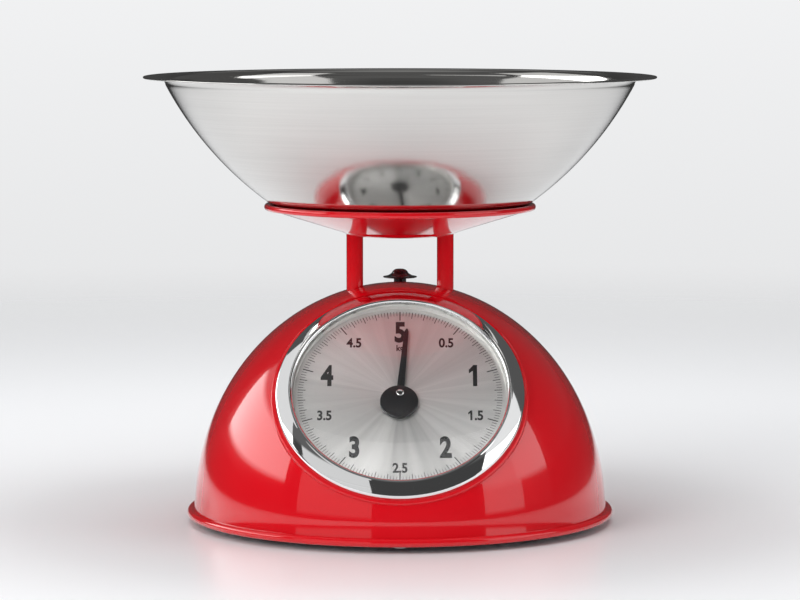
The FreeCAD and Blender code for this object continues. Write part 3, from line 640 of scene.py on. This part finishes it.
class SCALE_OT_dome(ScaleOperator, bpy.types.Operator):
    """Pressed dome with a rolled foot, a raised seat for the bezel and holes for posts and knob"""
    bl_idname = "kitchen_scale.dome"
    bl_label = "Dome"

    def make(self, scene):
        dome = scene.scale_dome
        foot, sheet, roll = dome.foot, dome.sheet, dome.roll
        rise = DOME_HIGH.z - foot
        roll_r = DOME_HIGH.x - roll
        quarter = math.pi / 2
        flare_rise, neck_height = 0.009, 0.0096
        flare = math.asin(flare_rise / rise)
        outer = [(dome.radius * math.sin(a), foot + rise * math.cos(a))
                 for a in (quarter * i / 110 for i in range(111)) if a < quarter - flare]
        outer.append((dome.radius * math.cos(flare), foot + rise * math.sin(flare)))
        roll_top = (roll_r - 0.6 * roll, foot + 0.8 * roll)
        neck = arc(outer[-1], (dome.radius + 0.00002, neck_height), roll_top, 8)
        edge = circle_part((roll_r, foot), roll, 127, -180, 28)[1:]
        inner = [((dome.radius - sheet) * math.cos(a), foot + (rise - sheet) * math.sin(a))
                 for a in (quarter * i / 60 for i in range(60))]
        shape = lathe(outer + neck + edge + inner + [(0.0, foot + rise - sheet)], turns=288)
        piece = finish_mesh(shape, "enamel_dome")

        # The raised seat: a mouth cut through the dome, and a collar whose wall laps into the cut.
        wall_foot, mouth_top, lap = -0.0035, 0.06, 0.0005
        mouth = cutter("mouth_cutter", dome.collar - lap, wall_foot, mouth_top, DIAL_PLACE, 256)
        combine(piece, mouth, "DIFFERENCE")
        under = dome.seat - sheet
        corner = 0.0009
        bend = corner * (1 - math.sqrt(0.5))
        section = path((dome.mouth, under), (dome.mouth, dome.seat), (dome.collar - corner, dome.seat),
                       ((dome.collar - bend, dome.seat - bend), (dome.collar, dome.seat - corner), 6))
        section += line(section[-1], (dome.collar, wall_foot), 16)
        section += [(dome.collar - sheet, wall_foot), (dome.collar - sheet, under)]
        collar = finish_mesh(lathe(section, turns=256, closed=True), "collar", DIAL_PLACE)
        combine(piece, collar, "UNION")

        post_x = (POST_LOW.x + POST_HIGH.x) / 2
        knob_y = (KNOB_LOW.y + KNOB_HIGH.y) / 2
        post_hole = (POST_HIGH.x - POST_LOW.x) / 2 + 0.0006
        knob_hole = 0.004
        hole_low, hole_high = 0.09, 0.13
        for x, y, radius in ((-post_x, 0, post_hole), (post_x, 0, post_hole), (0, knob_y, knob_hole)):
            hole = cutter("hole_cutter", radius, hole_low, hole_high, Matrix.Translation((x, y, 0)), 64)
            combine(piece, hole, "DIFFERENCE")
        piece.data.shade_smooth()
        piece.data.set_sharp_from_angle(angle=math.radians(20))
        set_on(piece, "chassis", "red_enamel", "dome_shell")


class SCALE_OT_bezel(ScaleOperator, bpy.types.Operator):
    """Chrome ring with a nearly conical flank, round the glass"""
    bl_idname = "kitchen_scale.bezel"
    bl_label = "Bezel"

    def make(self, scene):
        dial, seat = scene.scale_dial, scene.scale_dome.seat
        lip = dial.glass + dial.glass_sheet + 0.00005
        outline = path((dial.window + 0.0042, seat), (dial.bezel - 0.0004, seat),
                       ((dial.bezel - 0.00005, seat + 0.00035), (dial.bezel, seat + 0.0009), 5),
                       ((dial.bezel - 0.00025, seat + 0.0018), (dial.bezel - 0.001, seat + 0.00255), 8),
                       ((dial.bezel - 0.00334, seat + 0.00408), (dial.bezel - 0.0058, seat + 0.0054), 20),
                       ((dial.window + 0.0011, seat + 0.00573), (dial.window + 0.0003, seat + 0.00535), 8),
                       (dial.window, seat + 0.0049), (dial.window, lip), (dial.window + 0.0042, lip))
        piece = finish_mesh(lathe(outline, turns=288, closed=True), "chrome_bezel", DIAL_PLACE)
        set_on(piece, "chassis", "chrome", "bezel")


class SCALE_OT_dial(ScaleOperator, bpy.types.Operator):
    """Satin metal dial face with the cover glass above it"""
    bl_idname = "kitchen_scale.dial"
    bl_label = "Dial and glass"

    def make(self, scene):
        dial = scene.scale_dial
        plate, bore, edge = 0.0006, 0.0026, 0.00008
        low = dial.face - plate
        outline = [(bore, low)] + line((bore, dial.face), (dial.face_radius - edge, dial.face), 24)
        outline += [(dial.face_radius, dial.face - edge), (dial.face_radius, low)]
        piece = finish_mesh(lathe(outline, turns=192, closed=True), "satin_dial", DIAL_PLACE)
        set_on(piece, "chassis", "dial_silver", "dial_face")

        hold, crown, ground = 0.004, 0.0004, 0.0002
        low, radius = dial.glass, dial.window + hold
        top = low + dial.glass_sheet
        outline = [(0.0, low), (radius - ground, low), (radius, low + ground), (radius, top - ground),
                   (radius - ground, top), (dial.window, top)]
        outline += arc((dial.window, top), (dial.window / 2, top + 0.75 * crown), (0.0, top + crown), 16)
        piece = finish_mesh(lathe(outline, turns=192), "cover_glass", DIAL_PLACE)
        set_on(piece, "chassis", "clear_glass", "dial_glass")


class SCALE_OT_figures(ScaleOperator, bpy.types.Operator):
    """Printed kilogram figures, half figures, unit and graduations"""
    bl_idname = "kitchen_scale.figures"
    bl_label = "Figures and graduations"

    ink_height = 0.00004
    letter_depth = 0.02

    def figure(self, scene, text, height, squeeze, weight, middle):
        """One printed word as a flat solid, upright on the dial, centred on a point."""
        curve = bpy.data.curves.new("figure", "FONT")
        curve.body = text
        curve.align_x, curve.align_y = "CENTER", "CENTER"
        curve.offset = weight
        curve.resolution_u = 6
        curve.extrude = self.letter_depth / 2
        mesh = solid_of(curve)
        if text.startswith("1"):
            self.flag(mesh)
        ys = [vert.co.y for vert in mesh.vertices]
        xs = [vert.co.x for vert in mesh.vertices]
        size = height / (max(ys) - min(ys))
        centre = Vector(((max(xs) + min(xs)) / 2, (max(ys) + min(ys)) / 2, 0))
        mesh.transform(Matrix.Translation(-centre))
        mesh.transform(Matrix.Diagonal((size * squeeze, size, self.ink_height / self.letter_depth, 1)))
        mesh.transform(Matrix.Translation((*middle, scene.scale_dial.face + self.ink_height / 2)))
        return mesh

    def flag(self, mesh):
        """Give the plain bar of a figure 1 the slanted stroke at its top left."""
        left = min(vert.co.x for vert in mesh.vertices)
        top = max(vert.co.y for vert in mesh.vertices)
        inside, tip = left + 0.03, left - 0.17
        corners = [(inside, top - 0.19), (tip, top - 0.31), (tip, top - 0.17), (inside, top)]
        stroke = solid_from_section(corners, -self.letter_depth / 2, self.letter_depth / 2)
        stroke.from_mesh(mesh)
        stroke.to_mesh(mesh)
        stroke.free()

    def make(self, scene):
        dial = scene.scale_dial
        words = []
        for step in range(2 * FULL_LOAD):
            height, squeeze, weight, ring = dial.figure_height, 0.70, 0.042, dial.figure_ring
            if step % 2:
                height, squeeze, weight, ring = dial.half_height, 0.80, 0.032, dial.figure_ring + 0.0010
            if step == FULL_LOAD:            # the figure at the bottom stands further out
                ring += 0.0036
            turn = FULL_TURN * step / (2 * FULL_LOAD)
            middle = (ring * math.sin(turn), ring * math.cos(turn))
            words.append((f"{step / 2 if step else FULL_LOAD:g}", height, squeeze, weight, middle))
        words.append(("kg", 0.0046, 0.8, 0.028, (0.0, 0.0262)))
        printed = bmesh.new()
        for word in words:
            mesh = self.figure(scene, *word)
            printed.from_mesh(mesh)
            bpy.data.meshes.remove(mesh)
        bmesh.ops.remove_doubles(printed, verts=printed.verts, dist=1e-7)
        piece = finish_mesh(printed, "dial_figures", DIAL_PLACE, 20.0)
        set_on(piece, "chassis", "pointer_black", look="ink")

        per_kilogram = dial.divisions // FULL_LOAD
        sizes = ((per_kilogram // 2, 0.0050, 0.00050), (per_kilogram // 10, 0.0036, 0.00032),
                 (1, 0.0024, 0.00022))
        ticks = bmesh.new()
        for index in range(dial.divisions):
            reach, width = next(size for every, *size in sizes if index % every == 0)
            tick = bmesh.ops.create_cube(ticks, size=1.0)["verts"]
            bmesh.ops.scale(ticks, vec=(width, reach, self.ink_height), verts=tick)
            middle = (0, dial.tick_ring - reach / 2, dial.face + self.ink_height / 2)
            bmesh.ops.translate(ticks, vec=middle, verts=tick)
            turn = Matrix.Rotation(-FULL_TURN * index / dial.divisions, 3, "Z")
            bmesh.ops.rotate(ticks, cent=(0, 0, 0), matrix=turn, verts=tick)
        piece = finish_mesh(ticks, "dial_graduations", DIAL_PLACE, 20.0)
        set_on(piece, "chassis", "pointer_black", look="ink")


class SCALE_OT_pointer(ScaleOperator, bpy.types.Operator):
    """Tapered needle with its balance disc and the cap on the shaft"""
    bl_idname = "kitchen_scale.pointer"
    bl_label = "Pointer"

    def make(self, scene):
        pointer = scene.scale_pointer
        place = DIAL_PLACE @ Matrix.Rotation(-pointer.lean, 4, "Z")
        half, tip, point = pointer.width / 2, 0.001, 0.0015
        blade_low, blade_high = 0.0040, 0.0045
        root = pointer.disc - pointer.offset - 0.0006
        corners = [(-half, root), (half, root), (tip, pointer.reach - point), (tip / 3, pointer.reach),
                   (-tip / 3, pointer.reach), (-tip, pointer.reach - point)]
        shape = solid_from_section(corners, blade_low, blade_high)
        bmesh.ops.bevel(shape, geom=shape.edges[:], offset=0.00012, segments=2, profile=0.5, affect="EDGES",
                        material=-1, clamp_overlap=True)
        set_on(finish_mesh(shape, "needle_blade", place), "pointer", "pointer_black", "needle")

        low, high, edge = 0.0036, 0.0049, 0.0004
        outline = path((0.0, low), (pointer.disc, low), (pointer.disc, high - edge),
                       ((pointer.disc - 0.3 * edge, high - 0.3 * edge), (pointer.disc - edge, high), 6),
                       (0.0, high))
        shape = lathe(outline, turns=128)
        bmesh.ops.translate(shape, vec=(0, -pointer.offset, 0), verts=shape.verts)
        set_on(finish_mesh(shape, "balance_disc", place), "pointer", "pointer_black", "counterweight_disc")

        outline = path((0.0, high), (0.0018, high), (0.0018, 0.0051),
                       ((0.00165, 0.00532), (0.0012, 0.0054), 6), (0.0, 0.00543))
        piece = finish_mesh(lathe(outline, turns=64), "pointer_cap", DIAL_PLACE)
        set_on(piece, "pointer", "zinc_steel", "shaft_cap", look="chrome")


class SCALE_OT_dish(ScaleOperator, bpy.types.Operator):
    """Red dish with a rolled rim, on two round posts"""
    bl_idname = "kitchen_scale.dish"
    bl_label = "Dish and posts"

    def make(self, scene):
        dish = scene.scale_dish
        floor, sheet = dish.floor, dish.sheet
        roll_middle = (dish.rim - dish.roll, dish.rim_height)
        under_edge, over_edge = (0.0622, 0.15027), (0.0622, 0.1513)
        pan_r, bend_r, foot_r = 0.0215, 0.0250, 0.0280
        foot_rise = under_edge[1] - floor - (under_edge[0] - foot_r) * math.tan(dish.slope)
        bend_rise = 0.3 * foot_rise
        outline = path((0.0, floor), (pan_r, floor),
                       ((bend_r, floor + bend_rise), (foot_r, floor + foot_rise), 16))
        outline += line(outline[-1], under_edge, 20)
        outline += circle_part(roll_middle, dish.roll, 218, 520, 30)
        outline += [over_edge] + line(over_edge, (foot_r - 0.0003, floor + foot_rise + sheet), 20)
        pan_edge = (pan_r - 0.0001, floor + sheet)
        outline += arc(outline[-1], (bend_r - 0.0003, floor + bend_rise + sheet), pan_edge, 16)
        outline += [(0.0, floor + sheet)]
        piece = finish_mesh(lathe(outline, turns=224), "enamel_dish", sharp=50.0)
        set_on(piece, "platform", "red_enamel", "load_dish")

        middle_x = (POST_LOW.x + POST_HIGH.x) / 2
        radius = (POST_HIGH.x - POST_LOW.x) / 2
        low, high, edge, bend = POST_LOW.z, floor + 0.9 * sheet, 0.0003, 0.0001
        outline = [(0.0, low), (radius, low + edge)] + line((radius, low + edge), (radius, high - bend), 6)
        outline += circle_part((radius - bend, high - bend), bend, 0, 90, 8)[1:] + [(0.0, high)]
        for name, side in (("left", -1), ("right", 1)):
            place = Matrix.Translation((side * middle_x, 0, 0))
            piece = finish_mesh(lathe(outline, turns=64), "red_post_" + name, place)
            set_on(piece, "platform", "red_enamel", "post_" + name)


class SCALE_OT_bowl(ScaleOperator, bpy.types.Operator):
    """Spun stainless bowl with a flat rim"""
    bl_idname = "kitchen_scale.bowl"
    bl_label = "Bowl"

    def make(self, scene):
        bowl = scene.scale_bowl
        top, sheet, base = bowl.top, bowl.sheet, bowl.top - bowl.depth
        heel_middle = (bowl.floor, base + bowl.heel)
        outer_heel = circle_part(heel_middle, bowl.heel, -90, -51, 14)
        inner_heel = circle_part(heel_middle, bowl.heel - sheet, -51, -90, 14)
        outline = [(0.0, base)] + line((0.0, base), (bowl.floor, base), 10) + outer_heel[1:]
        outline += arc(outline[-1], (0.0910, top - 0.0345), (0.1118, top - 0.0040), 56)
        outline += arc(outline[-1], (0.1129, top - 0.00175), (0.1154, top - sheet), 12)
        outline += line(outline[-1], (bowl.rim - 0.0004, top - sheet), 4)
        outline += arc(outline[-1], (bowl.rim, top - sheet / 2), (bowl.rim - 0.0004, top), 8)
        outline += line(outline[-1], (0.1152, top), 4)
        outline += arc(outline[-1], (0.1123, top - 0.0012), (0.11109, top - 0.00362), 12)
        outline += arc(outline[-1], (0.09041, top - 0.03396), inner_heel[0], 56)
        outline += inner_heel[1:] + line(inner_heel[-1], (0.0, base + sheet), 10)
        piece = finish_mesh(lathe(outline, turns=288), "steel_bowl", sharp=50.0)
        set_on(piece, "bowl", "stainless", "bowl")


class SCALE_OT_zero_knob(ScaleOperator, bpy.types.Operator):
    """Black thumbwheel on top of the dome that sets the needle to zero"""
    bl_idname = "kitchen_scale.zero_knob"
    bl_label = "Zero knob"

    def make(self, scene):
        radius = (KNOB_HIGH.x - KNOB_LOW.x) / 2
        middle_y = (KNOB_LOW.y + KNOB_HIGH.y) / 2
        under, top, stem, edge = 0.1152, KNOB_HIGH.z, 0.003, 0.0003
        outline = path((0.0, KNOB_LOW.z), (stem, KNOB_LOW.z), (stem, under), (radius - edge, under),
                       ((radius, under + edge), (radius - edge, under + 2 * edge), 8),
                       ((0.0056, under + 0.0012), (0.0041, under + 0.0022), 12),
                       ((0.0030, top - 0.0006), (0.0008, top), 14), (0.0, top))
        piece = finish_mesh(lathe(outline, turns=128), "thumbwheel", Matrix.Translation((0, middle_y, 0)))
        set_on(piece, "zero_knob", "black_plastic", "zero_knob")


class SCALE_OT_springs(ScaleOperator, bpy.types.Operator):
    """Two coiled extension springs between the hanger and the carriage"""
    bl_idname = "kitchen_scale.springs"
    bl_label = "Springs"

    coils: IntProperty(name="Coils", description="Working turns of each spring", default=14, min=3)

    def make(self, scene):
        wire, tail, bend, per_turn = 0.0006, 0.0095, 0.003, 18
        middle_x = (SPRING_LOW.x + SPRING_HIGH.x) / 2
        middle_y = (SPRING_LOW.y + SPRING_HIGH.y) / 2
        mean = (SPRING_HIGH.x - SPRING_LOW.x) / 2 - wire
        low, high = SPRING_LOW.z, SPRING_HIGH.z
        points = [Vector((0, 0, low)), Vector((0, 0, low + tail - bend))]
        for index in range(self.coils * per_turn + 1):
            turn = FULL_TURN * index / per_turn
            height = low + tail + (high - low - 2 * tail) * index / (self.coils * per_turn)
            points.append(Vector((mean * math.cos(turn), mean * math.sin(turn), height)))
        points += [Vector((0, 0, high - tail + bend)), Vector((0, 0, high))]
        for name, side in (("left", -1), ("right", 1)):
            centre = Vector((side * middle_x, middle_y, 0))
            curve = bpy.data.curves.new("spring_line", "CURVE")
            curve.dimensions = "3D"
            curve.bevel_depth = wire
            curve.bevel_resolution = 2
            curve.use_fill_caps = True
            spline = curve.splines.new("POLY")
            spline.points.add(len(points) - 1)
            for point, place in zip(spline.points, points):
                point.co = (*(place + centre), 1.0)
            mesh = solid_of(curve)
            mesh.shade_smooth()
            piece = add_object("coil_spring_" + name, mesh)
            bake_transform(piece)
            dress(piece, "spring_steel", "spring_" + name)


class SCALE_OT_frame_finishes(ScaleOperator, bpy.types.Operator):
    """Finishes for the CAD pieces that stay as they are"""
    bl_idname = "kitchen_scale.frame_finishes"
    bl_label = "Frame finishes"

    def make(self, scene):
        slots = {part["node"]: part["material_slot"] for part in frame["record"]["subparts"]}
        for name, piece in frame["nodes"].items():
            if piece.hide_render:
                continue
            material = finish(slots[name])
            if not piece.material_slots:
                piece.data.materials.append(material)
            for holder in piece.material_slots:
                holder.material = material


class SCALE_OT_stage(ScaleOperator, bpy.types.Operator):
    """Pale floor, studio light and the camera"""
    bl_idname = "kitchen_scale.stage"
    bl_label = "Stage"

    # Reflected panels in bands of height: bottom, top and softness as the sine of the height angle, then
    # where each panel starts, in degrees round from the dial's side, and how bright it is.
    bands = (
        (0.02, 0.20, 0.015, ((-180, 0.004), (-60, 0.16), (-16, 0.003), (47, 0.30), (72, 0.02), (93, 0.004))),
        (0.20, 0.48, 0.02, ((-180, 0.004), (-132, 1.0), (-70, 0.003), (-60, 0.16), (-16, 0.003), (47, 0.45),
                            (70, 0.55), (94, 0.012), (160, 0.004))),
        (0.48, 0.82, 0.03, ((-180, 0.05), (-166, 0.01), (-130, 0.18), (-70, 0.02), (47, 0.20), (90, 0.012),
                            (166, 0.05))))
    panel_power = 5.0
    fill_power = 0.42
    light_aim = Vector((0, 0, 0.09))

    def floor(self, scene):
        """A table top that grows dull with distance and fades into the backdrop."""
        shape = bmesh.new()
        bmesh.ops.create_circle(shape, cap_ends=True, segments=96, radius=4.0)
        table = finish_mesh(shape, "table", normals=False)
        made = FinishTree("pale_table", {"Base Color": (*scene.scale_colours.floor, 1.0), "IOR": 1.4,
                                         "Specular IOR Level": 0.3})
        reach = node(made.tree, "VectorMath", {0: made.where}, operation="LENGTH").outputs["Value"]
        made.link(ranged(made.tree, reach, 0.18, 0.55, 0.28, 0.95), "Roughness")
        fade = ranged(made.tree, reach, 0.45, 1.5, kind="SMOOTHSTEP")
        made.cover(fade, node(made.tree, "BsdfTransparent"))
        table.data.materials.append(made.material)

    def light(self, name, place, size, watts):
        lamp = bpy.data.lights.new(name, "AREA")
        lamp.shape = "RECTANGLE"
        lamp.size, lamp.size_y = size
        lamp.energy = watts
        holder = add_object(name, lamp)
        holder.location = place
        holder.rotation_euler = (self.light_aim - Vector(place)).to_track_quat("-Z", "Y").to_euler()
        holder.visible_glossy = False

    def panels(self, tree, share, height):
        """Light of the panels, by share of a turn and by height."""
        lit = 0.0
        for low, high, soft, stops in self.bands:
            shares = [((degrees + 180) / 360, level) for degrees, level in stops]
            panel = levels(tree, share, shares, "CONSTANT")
            above = ranged(tree, height, low - soft, low + soft)
            below = ranged(tree, height, high - soft, high + soft, 1.0, 0.0)
            band = maths(tree, "MULTIPLY", above, below)
            lit = maths(tree, "ADD", maths(tree, "MULTIPLY", panel, band), lit)
        return maths(tree, "MULTIPLY", lit, self.panel_power)

    def glow(self, tree, colour, strength):
        return node(tree, "Background", {"Color": (*colour, 1.0), "Strength": strength}).outputs[0]

    def world(self, scene):
        """Pale for the camera, an even fill for diffuse light, and panels and black flags for reflections."""
        world = bpy.data.worlds.new("studio")
        scene.world = world
        world.use_nodes = True
        tree = world.node_tree
        tree.nodes.clear()
        where = node(tree, "TexCoord").outputs["Generated"]
        x, y, z = node(tree, "SeparateXYZ", {0: where}).outputs
        turn = maths(tree, "ARCTAN2", x, maths(tree, "MULTIPLY", y, -1.0))
        share = maths(tree, "ADD", maths(tree, "DIVIDE", turn, FULL_TURN), 0.5)
        roof = ranged(tree, z, 0.84, 1.0, 0.05, 0.32)
        mirror = self.glow(tree, (0.8, 0.8, 0.8), maths(tree, "ADD", self.panels(tree, share, z), roof))
        fill = self.glow(tree, (0.97, 0.98, 1.0), self.fill_power)
        wall = self.glow(tree, (0.985, 0.99, 1.0), ranged(tree, z, -0.10, 0.0, 0.80, 0.90))
        rays = node(tree, "LightPath").outputs
        lit = node(tree, "MixShader", {0: rays["Is Glossy Ray"], 1: fill, 2: mirror}).outputs[0]
        seen = node(tree, "MixShader", {0: rays["Is Camera Ray"], 1: lit, 2: wall}).outputs[0]
        node(tree, "OutputWorld", {"Surface": seen})

    def make(self, scene):
        stage = scene.scale_stage
        self.floor(scene)
        self.world(scene)
        self.light("key_softbox", (-0.9, -1.1, 0.75), (0.9, 0.9), stage.key)
        self.light("right_softbox", (1.2, -0.5, 0.45), (0.6, 0.8), stage.side)
        self.light("top_softbox", (0.0, 0.1, 1.3), (1.2, 1.2), stage.top)
        lens = bpy.data.cameras.new("camera")
        lens.lens = stage.lens
        camera = add_object("camera", lens)
        camera.location = (0, -stage.distance, stage.eye)
        look = Vector((0, 0, stage.aim)) - camera.location
        camera.rotation_euler = look.to_track_quat("-Z", "Y").to_euler()
        scene.camera = camera
        scene.view_settings.view_transform = "Standard"


# ---------------------------------------------------------------- panel and registration

OPERATORS = (SCALE_OT_dome, SCALE_OT_bezel, SCALE_OT_dial, SCALE_OT_figures, SCALE_OT_pointer, SCALE_OT_dish,
             SCALE_OT_bowl, SCALE_OT_zero_knob, SCALE_OT_springs, SCALE_OT_frame_finishes, SCALE_OT_stage)
SETTINGS = {"scale_dome": ScaleDome, "scale_dial": ScaleDial, "scale_pointer": ScalePointer,
            "scale_bowl": ScaleBowl, "scale_dish": ScaleDish, "scale_colours": ScaleColours,
            "scale_stage": ScaleStage}


class SCALE_PT_panel(bpy.types.Panel):
    """Lists the pieces of the scale and their sizes"""
    bl_idname = "SCALE_PT_panel"
    bl_label = "Kitchen Scale"
    bl_space_type = "VIEW_3D"
    bl_region_type = "UI"
    bl_category = "Scale"

    def draw(self, context):
        for operator in OPERATORS:
            self.layout.operator(operator.bl_idname)
        for key, group in SETTINGS.items():
            box = self.layout.box()
            box.label(text=group.__name__)
            for field in group.__annotations__:
                box.prop(getattr(context.scene, key), field)


CLASSES = (*SETTINGS.values(), *OPERATORS, SCALE_PT_panel)


def register():
    for item in CLASSES:
        bpy.utils.register_class(item)
    for key, group in SETTINGS.items():
        setattr(bpy.types.Scene, key, PointerProperty(type=group))


def unregister():
    for key in SETTINGS:
        delattr(bpy.types.Scene, key)
    for item in reversed(CLASSES):
        bpy.utils.unregister_class(item)


def main():
    """Build the whole scale in order."""
    register()
    for operator in OPERATORS:
        family, action = operator.bl_idname.split(".")
        getattr(getattr(bpy.ops, family), action)()


if __name__ == "__main__":
    main()
